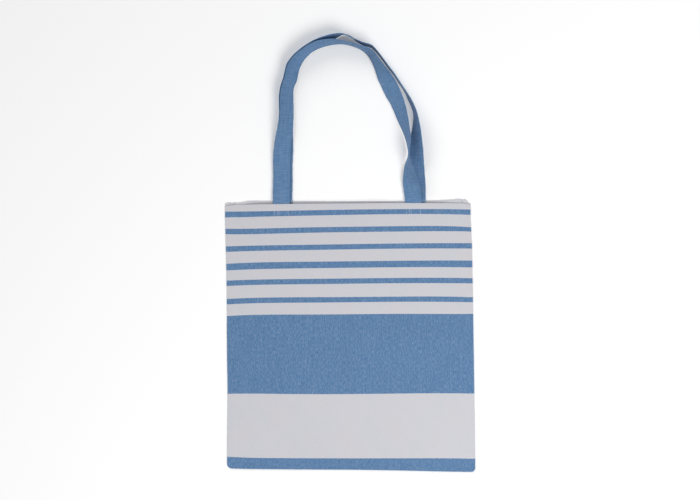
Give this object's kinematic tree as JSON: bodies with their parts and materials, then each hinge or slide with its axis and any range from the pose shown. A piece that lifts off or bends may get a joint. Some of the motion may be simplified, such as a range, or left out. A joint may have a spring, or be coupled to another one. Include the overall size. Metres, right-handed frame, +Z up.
{
  "type": "tote bag",
  "caption": "Flat cotton tote bag with woven stripes and long strap handles, open at the top, for carrying post or shopping.",
  "frame": {"origin": "middle of the bag body's underside, on the surface it lies on", "axes": "+Y from the bottom seam towards the mouth and handles, +Z up through the front panel, +X to the right as seen from the front"},
  "size_m": [0.3837, 0.6734, 0.0315],
  "materials": {
    "striped_cloth": "plain woven cotton with dyed bands",
    "handle_cloth": "plain woven cotton chambray, folded and stitched",
    "white_thread": "spun sewing thread",
    "blue_thread": "spun sewing thread"
  },
  "bodies": {
    "back_body": {"back_panel": "striped_cloth", "back_handle_ends": "handle_cloth", "back_left_box_stitch": "white_thread", "back_right_box_stitch": "white_thread", "back_hem_thread": "white_thread", "left_seam_thread": "white_thread", "right_seam_thread": "white_thread", "bottom_seam_thread": "white_thread", "overlock_thread": "white_thread"},
    "front_body": {"front_panel": "striped_cloth", "front_handle_ends": "handle_cloth", "front_left_box_stitch": "white_thread", "front_right_box_stitch": "white_thread", "front_hem_thread": "white_thread"},
    "front_loop": {"front_handle": "handle_cloth", "front_handle_topstitch": "blue_thread"},
    "back_loop": {"back_handle": "handle_cloth", "back_handle_topstitch": "blue_thread"}
  },
  "joints": [
    {"name": "mouth_opening", "type": "hinge", "parent": "back_body", "child": "front_body", "pos_m": [0, -0.2078, 0.0013], "axis": [1, 0, 0], "range_deg": [0, 6]},
    {"name": "front_handle_fold", "type": "hinge", "parent": "front_body", "child": "front_loop", "pos_m": [0, 0.2082, 0.0142], "axis": [1, 0, 0], "range_deg": [0, 160]},
    {"name": "back_handle_fold", "type": "hinge", "parent": "back_body", "child": "back_loop", "pos_m": [0, 0.2143, 0.001], "axis": [1, 0, 0], "range_deg": [-155, 0]}
  ]
}
